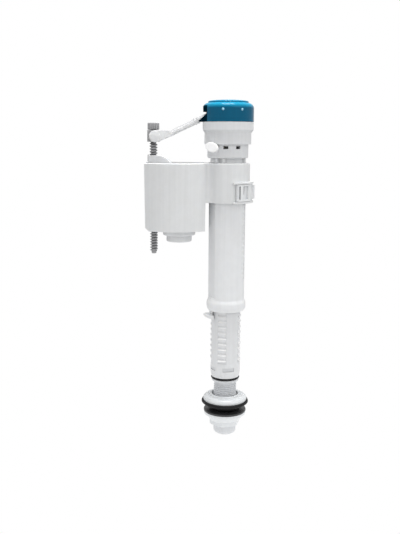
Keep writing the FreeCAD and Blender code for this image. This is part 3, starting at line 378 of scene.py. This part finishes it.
def slab(name, outline, low, high, along="y"):
    """A prism in millimetres from an outline of (x, z) along Y, or of (x, y) along Z."""
    work = bmesh.new()
    ends = []
    for level in (low, high):
        points = [(u, level, v) if along == "y" else (u, v, level) for u, v in outline]
        ends.append([work.verts.new(Vector(point) * MM) for point in points])
    work.faces.new(ends[0])
    work.faces.new(ends[1])
    count = len(outline)
    for index in range(count):
        after = (index + 1) % count
        work.faces.new((ends[0][index], ends[0][after], ends[1][after], ends[1][index]))
    bmesh.ops.recalc_face_normals(work, faces=work.faces)
    return as_mesh(work, name)


def combine(mesh, *steps):
    """Cut, join or intersect meshes: each step is ("DIFFERENCE", "UNION" or "INTERSECT", mesh)."""
    base = bpy.data.objects.new("work", mesh)
    bpy.context.scene.collection.objects.link(base)
    tools = []
    for operation, tool_mesh in steps:
        tool = bpy.data.objects.new("tool", tool_mesh)
        bpy.context.scene.collection.objects.link(tool)
        modifier = base.modifiers.new("carve", "BOOLEAN")
        modifier.operation = operation
        modifier.object = tool
        modifier.solver = "EXACT"
        tools.append(tool)
    bpy.context.view_layer.update()
    evaluated = base.evaluated_get(bpy.context.evaluated_depsgraph_get())
    result = bpy.data.meshes.new_from_object(evaluated)
    for thing in (*tools, base):
        bpy.data.objects.remove(thing)
    return result


# vertices closer than this, in metres, are one
WELD = 2e-6


def soften(mesh, width, segments=2, angle=28.0):
    """Round the sharp edges of a mesh the way a mould leaves them.

    The width is an upper limit. On about half of the nodes the rounding comes out far narrower."""
    work = bmesh.new()
    work.from_mesh(mesh)
    bmesh.ops.remove_doubles(work, verts=work.verts, dist=WELD)
    bmesh.ops.dissolve_limit(work, angle_limit=math.radians(0.6), verts=work.verts, edges=work.edges)
    sharp = [edge for edge in work.edges
             if len(edge.link_faces) == 2 and edge.calc_face_angle(0) > math.radians(angle)]
    bmesh.ops.bevel(work, geom=sharp, offset=width * MM, segments=segments, profile=0.5,
                    affect="EDGES", clamp_overlap=True)
    return as_mesh(work, mesh.name + "_soft")


def broaden(mesh, height, reach):
    """Round the outer edges of the float chamber at one height much more than the rest."""
    # in metres: the cup's axis, the border right of which edges go round the riser's axis instead,
    # and how far off the height a vertex may be
    cup_axis, border, slack = Vector((-0.0464, 0, 0)), -0.0205, 0.00003
    work = bmesh.new()
    work.from_mesh(mesh)
    bmesh.ops.remove_doubles(work, verts=work.verts, dist=WELD)
    work.normal_update()
    rim = []
    for edge in work.edges:
        off_level = any(abs(vertex.co.z - height * MM) > slack for vertex in edge.verts)
        if off_level or len(edge.link_faces) != 2:
            continue
        wall = min(edge.link_faces, key=lambda face: abs(face.normal.z))
        middle = (edge.verts[0].co + edge.verts[1].co) / 2
        axis = cup_axis if middle.x < border else Vector()
        outward = (middle - axis) * Vector((1, 1, 0))
        if edge.calc_face_angle(0) > math.radians(40) and wall.normal.dot(outward) > 0:
            rim.append(edge)
    bmesh.ops.bevel(work, geom=rim, offset=reach * MM, segments=4, profile=0.5, affect="EDGES",
                    clamp_overlap=True)
    return as_mesh(work, mesh.name + "_broad")


def arc(centre, radii, start, end, count):
    """Points along part of an ellipse, with angles in degrees."""
    angles = [math.radians(start + (end - start) * step / count) for step in range(count + 1)]
    return [(centre[0] + radii[0] * math.cos(t), centre[1] + radii[1] * math.sin(t)) for t in angles]


def ridge(angle, height, pitch, foot=0.86, flank=0.70):
    """How far up its ridge a right-hand thread is at a point: 0 at the root and 1 at the crest.

    In half pitches, foot is how far from its middle the ridge starts, and flank its slope's width."""
    away = abs((height / pitch - angle / math.tau) % 1.0 - 0.5) * 2
    return min(1.0, max(0.0, (foot - away) / flank))


def levels(low, high, spacing):
    """Evenly spaced heights from low to high, about the spacing apart."""
    count = max(1, round((high - low) / spacing))
    return [low + (high - low) * step / count for step in range(count + 1)]


# --- pieces ---------------------------------------------------------------------------------

for node, thing in frame["nodes"].items():
    thing.data.materials.clear()
    thing.data.materials.append(MATERIALS[SLOT_OF[node]])
    thing.data.shade_smooth()
    thing.data.set_sharp_from_angle(angle=math.radians(30))


def shank():
    """The threaded shank, with its flange, and snap lugs in the windows of the sleeve."""
    pitch, root, crest, nose = 1.8143, 9.3155, 10.4775, 3.5
    thread_low, thread_high = 9.2, 49.2
    flange, flange_low, flange_high = 12.5, 51.6, 53.7
    spigot, spigot_top, bore, inlet, inlet_top = 10.85, 67.0, 6.45, 6.0, 12.0

    def reach(angle, radius, height):
        if radius != root:
            return radius
        ease = min(1.0, (height - thread_low) / 1.5, (thread_high - height) / 1.2)
        return root + (crest - root) * ridge(angle, height, pitch) * max(0.0, ease)

    outline = [(inlet + 0.4, 0.0), *arc((crest - nose, nose), (nose, nose), -90, 0, 10),
               (crest, 6.0), (crest, 8.7), (crest - 0.3, 9.0)]
    outline += [(root, height) for height in levels(thread_low, thread_high, pitch / 12)]
    outline += [(flange - 0.3, flange_low), (flange, flange_low + 0.4), (flange, flange_high - 0.3),
                (flange - 0.3, flange_high), (spigot, flange_high), (spigot, spigot_top - 0.2),
                (spigot - 0.2, spigot_top), (bore, spigot_top), (bore, inlet_top),
                (inlet, inlet_top), (inlet, 0.4)]
    body = turning("shank", outline, 112, reach=reach)
    for azimuth in (11, -66, 114, 191):
        lug = slab("snap", oblong(-5.0, -12.5, 5.0, -10.2), 62.8, 66.0, along="z")
        lug.transform(Matrix.Rotation(math.radians(azimuth), 4, "Z"))
        body = combine(body, ("UNION", lug))
    replace_node("threaded_shank", body, 40.0)


def rod():
    """The adjusting rod: a coarse thread, and a fluted head with a slot for a screwdriver."""
    pitch, root, crest, flutes, flute_deep = 2.45, 2.2, 3.4, 16, 0.42
    axis_x, tip, thread_low, thread_high = -66.0, 171.0, 172.6, 270.4
    neck, head, head_low, head_top = 2.3, 5.2, 281.5, 287.5

    def reach(angle, radius, height):
        if radius == root:
            ease = min(1.0, (height - thread_low) / 1.2, (thread_high - height) / 1.0)
            return root + (crest - root) * ridge(angle, height, pitch, 0.70, 0.30) * max(0.0, ease)
        if radius > head - 0.6:
            groove = max(0.0, math.cos(angle * flutes)) ** 2
            return radius - flute_deep * groove
        return radius

    outline = [(0.0, tip), (1.7, tip), (2.0, tip + 0.2), (root, tip + 1.0)]
    outline += [(root, height) for height in levels(thread_low, thread_high, pitch / 16)]
    outline += [(neck, thread_high + 0.3), (neck, head_low), (head - 0.5, head_low),
                (head - 0.1, head_low + 0.3), (head, head_low + 0.7), (head, head_top - 0.7),
                (head - 0.1, head_top - 0.3), (head - 0.5, head_top), (3.0, head_top), (0.0, head_top)]
    mesh = turning("rod", outline, 128, centre=(axis_x, 0.0), reach=reach)
    groove_across = oblong(axis_x - 6, head_top - 1.4, axis_x + 6, head_top + 1.5)
    screwdriver = slab("slot", groove_across, -0.6, 0.6)
    replace_node("adjusting_rod", combine(mesh, ("DIFFERENCE", screwdriver)), 40.0)


def pip(x, z, radius, rise):
    """A small raised dot on the front of the cap's wall."""
    work = bmesh.new()
    bmesh.ops.create_uvsphere(work, u_segments=24, v_segments=12, radius=1.0)
    place = dot_place(x, z)
    scale = Matrix.Diagonal((radius * MM, rise * MM, radius * 0.62 * MM, 1.0))
    turn = Matrix.Rotation(math.atan2(x, -place[1]), 4, "Z")
    placed = Matrix.Translation(Vector(place) * MM) @ turn @ scale
    bmesh.ops.transform(work, matrix=placed, verts=work.verts)
    return as_mesh(work, "pip")


def cap():
    """The cap: a rolled shoulder, a raised disc on top, a mouth with two beaks, and two dots."""
    base, shoulder, top = 288.6, 299.8, 307.8
    bore, roll, disc_edge, well = 21.0, 4.6, 17.9, 15.4
    outline = [(bore + 0.05, base), (CAP_WALL - 0.3, base), (CAP_WALL, base + 0.3)]
    outline += arc((CAP_WALL - roll, shoulder), (roll, 5.0), 0, 86, 16)
    outline += [(disc_edge + 0.25, 304.86), (disc_edge + 0.05, 305.1), (disc_edge, 305.5)]
    outline += arc((disc_edge - 1.2, 305.6), (1.15, 1.1), 10, 80, 6)
    outline += [(radius, top - 1.02 * (radius / 16.9) ** 2) for radius in (15, 12, 9, 6, 3)]
    outline += [(0.0, top), (0.0, top - 1.5), (well, 305.0), (well, 303.2), (18.2, 303.1),
                (20.0, 301.8), (bore, shoulder), (bore, base + 0.3)]
    lip_x, lip_low, lip_high = -19.3, 295.2, 297.3
    beak_x, beak_root, beak_top, outside, half_wide = -26.0, -21.3, 289.5, -28.0, 13
    notch = slab("notch", [(lip_x, lip_high), (outside, lip_high), (outside, 287.8),
                           (beak_x, beak_top), (lip_x, lip_low)], -half_wide, half_wide)
    hood = slab("hood", oblong(-24.0, 297.0, -22.2, 302.6), -half_wide, half_wide)
    arm_way = slab("arm_way", oblong(outside, 288, -12, 299), -4.5, 4.5)
    body = combine(turning("cap", outline, 160), ("DIFFERENCE", notch), ("DIFFERENCE", hood),
                   ("DIFFERENCE", arm_way))
    beak = [(beak_root, base), (beak_x, base), (beak_x, beak_top), (beak_root, 293.5)]
    for front in (-6.1, 4.5):
        body = combine(body, ("UNION", slab("beak", beak, front, front + 1.6)))
    for x, z in CAP_DOTS:
        body = combine(body, ("UNION", pip(x, z, 1.1, 0.7)))
    replace_node("cap", soften(body, 0.22, 2, 34.0), 36.0)


def swept(name, start, end, half_wide, half_tall):
    """A bar with a rounded oblong section between two points in the XZ plane."""
    steps, squareness = 28, 2.6
    along = Vector((end[0] - start[0], 0, end[1] - start[1])).normalized()
    up = Vector((-along.z, 0, along.x))
    work = bmesh.new()
    rings = []
    for x, z in (start, end):
        ring = []
        for step in range(steps):
            angle = math.tau * step / steps
            side, lift = math.cos(angle), math.sin(angle)
            across = math.copysign(abs(side) ** (2 / squareness), side) * half_wide
            rise = math.copysign(abs(lift) ** (2 / squareness), lift) * half_tall
            ring.append(work.verts.new((Vector((x, across, z)) + up * rise) * MM))
        rings.append(ring)
        work.faces.new(ring)
    for step in range(steps):
        after = (step + 1) % steps
        work.faces.new((rings[0][step], rings[0][after], rings[1][after], rings[1][step]))
    bmesh.ops.recalc_face_normals(work, faces=work.faces)
    return as_mesh(work, name)


def disc(name, x, z, radius, front, back, bevel):
    """A round boss with its axis along Y and rounded ends."""
    outline = [(0.0, front), (radius - bevel, front), (radius - bevel * 0.3, front + bevel * 0.3),
               (radius, front + bevel), (radius, back), (0.0, back)]
    mesh = turning(name, outline, 48)
    laid = Matrix.Rotation(math.radians(-90), 4, "X")
    mesh.transform(Matrix.Translation((x * MM, 0, z * MM)) @ laid)
    return mesh


def arm():
    """The lever: a rounded bar, a fork whose cheeks carry round eyes, and the CAD's hidden tail."""
    pivot, eye, stub_place = (-13.0, 296.2), (-64.4, 275.8), (-64.2, 276.0)
    slope = math.tan(math.radians(24.5))
    cheek_out, cheek_in, fork_end_half, crotch_x = 8.2, 5.65, 4.4, -54.4
    bar_start, bar_end, bar_sag, hidden_from = -21.0, -52.5, 0.8, -22

    def line(x):
        """The height of the lever's middle line."""
        return pivot[1] - (pivot[0] - x) * slope

    in_sight = slab("in_sight", oblong(-75, 262, hidden_from, 305), -12, 12)
    hidden = combine(soften(frame["nodes"]["lever_arm"].data, 0.3), ("DIFFERENCE", in_sight))
    bar = swept("bar", (bar_start, line(bar_start)), (bar_end, line(bar_end) - bar_sag), 3.3, 2.5)
    tip, top, low = line(bar_end), eye[1] + 5.0, eye[1] - 4.9
    fork = slab("fork", [(eye[0], top), (-59.0, top + 0.5), (-51.5, top), (-49.6, tip + 1.6),
                         (-49.6, tip - 1.8), (-58.0, tip - 3.0 - 5.5 * slope), (eye[0] + 2.6, low),
                         (eye[0], low - 0.2)], -cheek_out, cheek_out)
    taper = slab("taper", [(-66, -cheek_out), (-55.5, -cheek_out), (-50.5, -fork_end_half),
                           (-48.0, -fork_end_half), (-48.0, fork_end_half), (-50.5, fork_end_half),
                           (-55.5, cheek_out), (-66, cheek_out)], 262, 292, along="z")
    crotch = slab("crotch", oblong(-75, 262, crotch_x, 290), -cheek_in, cheek_in)
    cheeks = soften(combine(fork, ("INTERSECT", taper), ("DIFFERENCE", crotch)), 0.9, 4)
    body = combine(hidden, ("UNION", bar), ("UNION", cheeks))
    for side in (-1, 1):
        eye_disc = disc("eye", *eye, 5.25, -8.7, -cheek_in, 1.1)
        stub = disc("stub", *stub_place, 1.3, -6.0, -3.4, 0.1)
        if side > 0:
            for piece in (eye_disc, stub):
                piece.transform(Matrix.Scale(-1.0, 4, Vector((0, 1, 0))))
                piece.flip_normals()
        body = combine(body, ("UNION", eye_disc), ("UNION", stub))
    ring_long = 0.8
    for start in (-29.6, -27.2):
        height = line(start)
        end = (start + ring_long, height + ring_long * slope)
        body = combine(body, ("UNION", swept("ring", (start, height), end, 3.75, 3.25)))
    replace_node("lever_arm", body, 38.0)


def washer():
    """The domed washer, with a groove round the raised ring that guides the shank."""
    bore, edge = 11.0, 20.2
    outline = [(bore, 32.62), (edge - 0.3, 32.62), (edge, 33.0), *arc((15.7, 34.0), (4.5, 3.5), 0, 84, 12),
               (15.6, 37.3), (15.1, 36.9), (14.6, 37.0), (14.15, 37.7),
               *arc((13.05, 38.2), (0.9, 0.8), 10, 165, 8), (12.05, 36.6), (bore, 35.6)]
    replace_node("dome_washer", turning("washer", outline, 112), 40.0)


def tongue():
    """The thumb tongue, its oval tipped up a little about its top edge, and its stem left level."""
    azimuth, tip_up = math.radians(-35), math.radians(10)
    oval_radius, oval_top, stem_end = 22.1, 271.5, 20.0
    mesh = soften(frame["nodes"]["release_button"].data, 0.3)
    out = Vector((math.sin(azimuth), -math.cos(azimuth), 0))
    top = out * oval_radius * MM + Vector((0, 0, oval_top * MM))
    turn = Matrix.Rotation(-tip_up, 4, Vector((0, 0, 1)).cross(out))
    tipped = Matrix.Translation(top) @ turn @ Matrix.Translation(-top)
    for vertex in mesh.vertices:
        if vertex.co.dot(out) > stem_end * MM:
            vertex.co = tipped @ vertex.co
    replace_node("release_button", mesh)


# how wide the rounding of each node's edges is at most, in millimetres
ROUNDED = {
    "head_body": 0.45, "riser_tube": 0.3, "height_sleeve": 0.25, "float_shell": 0.8,
    "drain_collar": 0.3, "drain_disc": 0.4, "lock_ring": 0.35, "chamber_latch": 0.22,
    "rod_holder": 0.4, "flanged_nut": 0.4, "cone_seal": 0.4, "flat_washer": 0.3, "float_clip": 0.25,
}
CHAMBER_RIM = 252.7

shank()
rod()
cap()
arm()
washer()
for node, width in ROUNDED.items():
    softened(node, width)
tongue()
softened("float_chamber", 0.4, broad=((CHAMBER_RIM, 1.15),))


# --- set, light and camera ------------------------------------------------------------------


# how strongly the floor shines at its middle and far out, how far out that is, and where it lies
FLOOR_NEAR, FLOOR_FAR, FLOOR_REACH = 1.15, 0.22, 1.1
FLOOR_LEVEL, FLOOR_RADIUS = -0.026, 8.0

# the sky's strength, and how much it grows toward each axis
SKY_LEVEL, SKY_SLOPE = 0.80, (0.02, 0.03, 0.0)

# name, watts, width of the square, place, and the point it faces, in metres
LIGHTS = (
    ("key", 1.1, 0.55, (0.50, -0.62, 0.72), (0.0, 0.0, 0.16)),
    ("overhead", 5.4, 0.3, (0.0, -0.04, 0.90), (0.0, 0.0, 0.25)),
)

# in metres, in degrees from straight down and round the line of sight, and in millimetres
CAMERA_PLACE = (-0.0241, -0.667, 0.276)
CAMERA_TILT, CAMERA_ROLL = 80.0, 0.35
LENS, SENSOR = 50.0, 36.0


def backdrop():
    """A white floor: plain white to the eye, and lighting the object only from nearby."""
    work = bmesh.new()
    bmesh.ops.create_circle(work, cap_ends=True, segments=96, radius=FLOOR_RADIUS)
    mesh = as_mesh(work, "floor")
    floor = bpy.data.objects.new("floor", mesh)
    floor.location.z = FLOOR_LEVEL
    bpy.context.scene.collection.objects.link(floor)
    shader = Shader("floor_white")
    distance = shader.node("ShaderNodeVectorMath", operation="LENGTH")
    shader.link(shader.place, distance.inputs[0])
    near = shader.span(distance.outputs["Value"], FLOOR_NEAR, FLOOR_FAR, 0.0, FLOOR_REACH)
    seen = shader.node("ShaderNodeLightPath").outputs["Is Camera Ray"]
    glow = shader.node("ShaderNodeMix", data_type="FLOAT")
    glow.inputs["B"].default_value = 1.0
    shader.link(seen, glow.inputs["Factor"])
    shader.link(near, glow.inputs["A"])
    shader.link(glow.outputs["Result"], shader.principled.inputs["Emission Strength"])
    shader.set(Base_Color=(0.0, 0.0, 0.0, 1.0), Roughness=1.0, Specular_IOR_Level=0.0,
               Emission_Color=(1.0, 1.0, 1.0, 1.0))
    mesh.materials.append(shader.material)


def world_light():
    """White behind the object, and a soft sky, a little brighter to the right and at the back."""
    world = bpy.data.worlds.new("studio")
    bpy.context.scene.world = world
    world.use_nodes = True
    tree = world.node_tree
    background = next(n for n in tree.nodes if n.type == "BACKGROUND")
    output = next(n for n in tree.nodes if n.type == "OUTPUT_WORLD")
    toward = tree.nodes.new("ShaderNodeTexCoord").outputs["Generated"]
    slope = tree.nodes.new("ShaderNodeVectorMath")
    slope.operation = "DOT_PRODUCT"
    slope.inputs[1].default_value = SKY_SLOPE
    tree.links.new(toward, slope.inputs[0])
    level = tree.nodes.new("ShaderNodeMath")
    level.operation = "ADD"
    level.inputs[1].default_value = SKY_LEVEL
    tree.links.new(slope.outputs["Value"], level.inputs[0])
    tree.links.new(level.outputs["Value"], background.inputs["Strength"])
    background.inputs["Color"].default_value = (1.0, 1.0, 1.0, 1.0)
    seen = tree.nodes.new("ShaderNodeBackground")
    seen.inputs["Color"].default_value = (1.0, 1.0, 1.0, 1.0)
    seen.inputs["Strength"].default_value = 1.0
    path = tree.nodes.new("ShaderNodeLightPath")
    blend = tree.nodes.new("ShaderNodeMixShader")
    tree.links.new(path.outputs["Is Camera Ray"], blend.inputs[0])
    tree.links.new(background.outputs[0], blend.inputs[1])
    tree.links.new(seen.outputs[0], blend.inputs[2])
    tree.links.new(blend.outputs[0], output.inputs["Surface"])


def area_light(name, power, width, place, target):
    """A square lamp that faces its target."""
    data = bpy.data.lights.new(name, "AREA")
    data.shape = "RECTANGLE"
    data.size, data.size_y, data.energy = width, width, power
    light = bpy.data.objects.new(name, data)
    light.location = place
    light.rotation_euler = (Vector(target) - Vector(place)).to_track_quat("-Z", "Y").to_euler()
    bpy.context.scene.collection.objects.link(light)


def studio():
    backdrop()
    world_light()
    for light in LIGHTS:
        area_light(*light)
    scene = bpy.context.scene
    scene.view_settings.view_transform = "Standard"
    scene.view_settings.look = "None"


def camera():
    """In front of the valve, nearly level with its head, looking down a little at its middle."""
    data = bpy.data.cameras.new("camera")
    data.lens, data.sensor_width = LENS, SENSOR
    data.clip_start, data.clip_end = 0.05, 30.0
    eye = bpy.data.objects.new("camera", data)
    tilt = Matrix.Rotation(math.radians(CAMERA_TILT), 4, "X")
    roll = Matrix.Rotation(math.radians(CAMERA_ROLL), 4, "Z")
    eye.matrix_world = Matrix.Translation(CAMERA_PLACE) @ tilt @ roll
    bpy.context.scene.collection.objects.link(eye)
    bpy.context.scene.camera = eye


studio()
camera()
